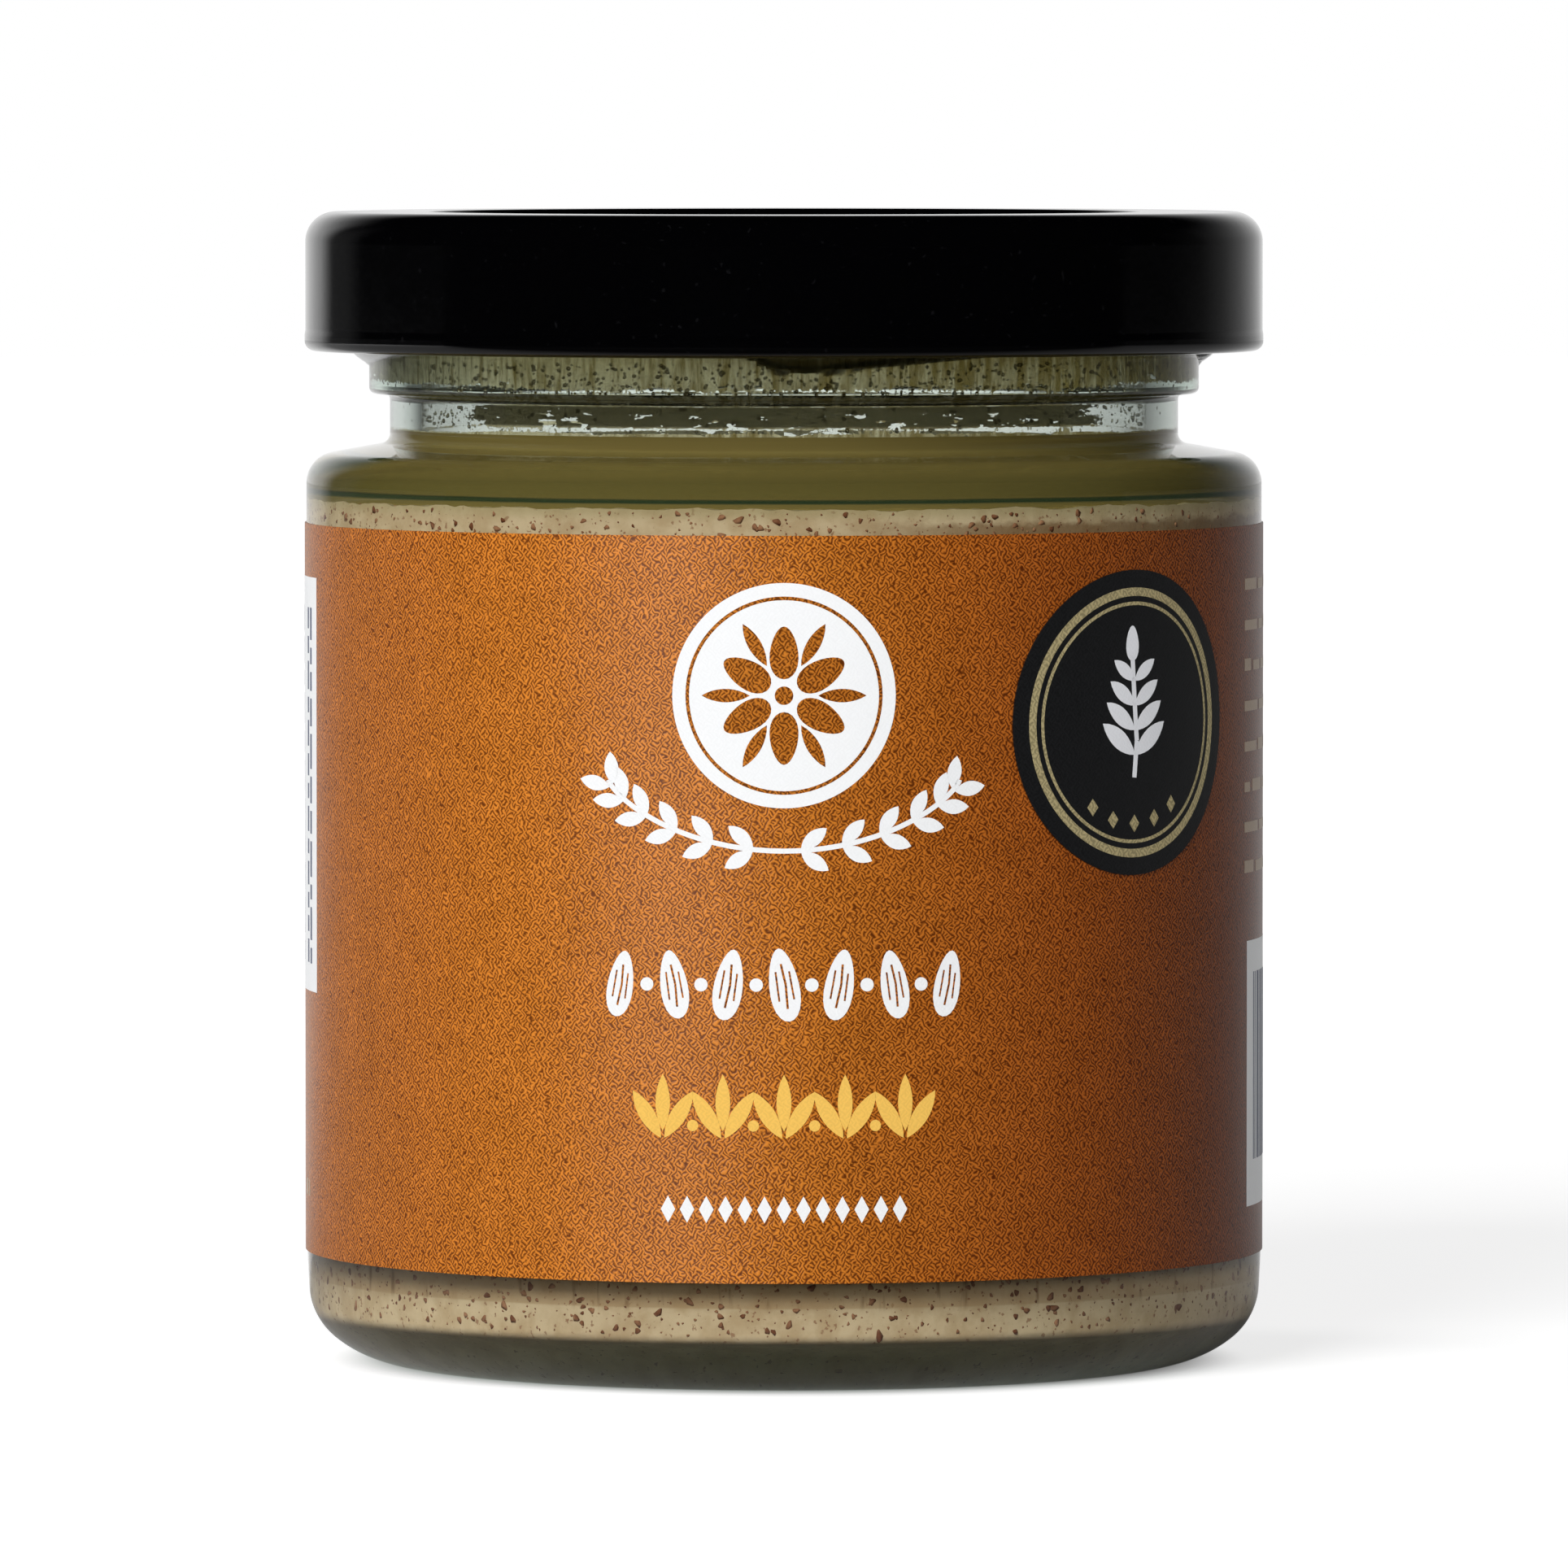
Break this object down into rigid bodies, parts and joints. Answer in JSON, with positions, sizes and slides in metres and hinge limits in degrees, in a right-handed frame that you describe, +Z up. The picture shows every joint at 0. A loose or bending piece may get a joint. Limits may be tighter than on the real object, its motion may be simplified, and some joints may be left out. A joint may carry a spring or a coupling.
{
  "type": "jar of almond butter",
  "caption": "Round glass jar of crunchy almond butter with a black twist-off lid, oil standing on the paste, an orange wrap label with a plain emblem and a round black seal.",
  "frame": {"origin": "centre of the ring that the jar stands on", "axes": "+Z up along the jar's axis, -Y towards the front of the label, +X to the right of the front"},
  "size_m": [0.0692, 0.0692, 0.083],
  "materials": {
    "jar_glass": "clear flint glass with a faint green cast",
    "lid_lacquer": "gloss black lacquer on tinplate",
    "nut_paste": "oily beige paste with brown skin flecks",
    "nut_oil": "clear olive yellow oil",
    "label_print": "satin printed label",
    "seal_print": "satin printed sticker"
  },
  "bodies": {
    "root": {"glass_jar": "jar_glass", "lid": "lid_lacquer", "almond_butter": "nut_paste", "oil_layer": "nut_oil", "label": "label_print", "round_seal": "seal_print"}
  },
  "joints": []
}
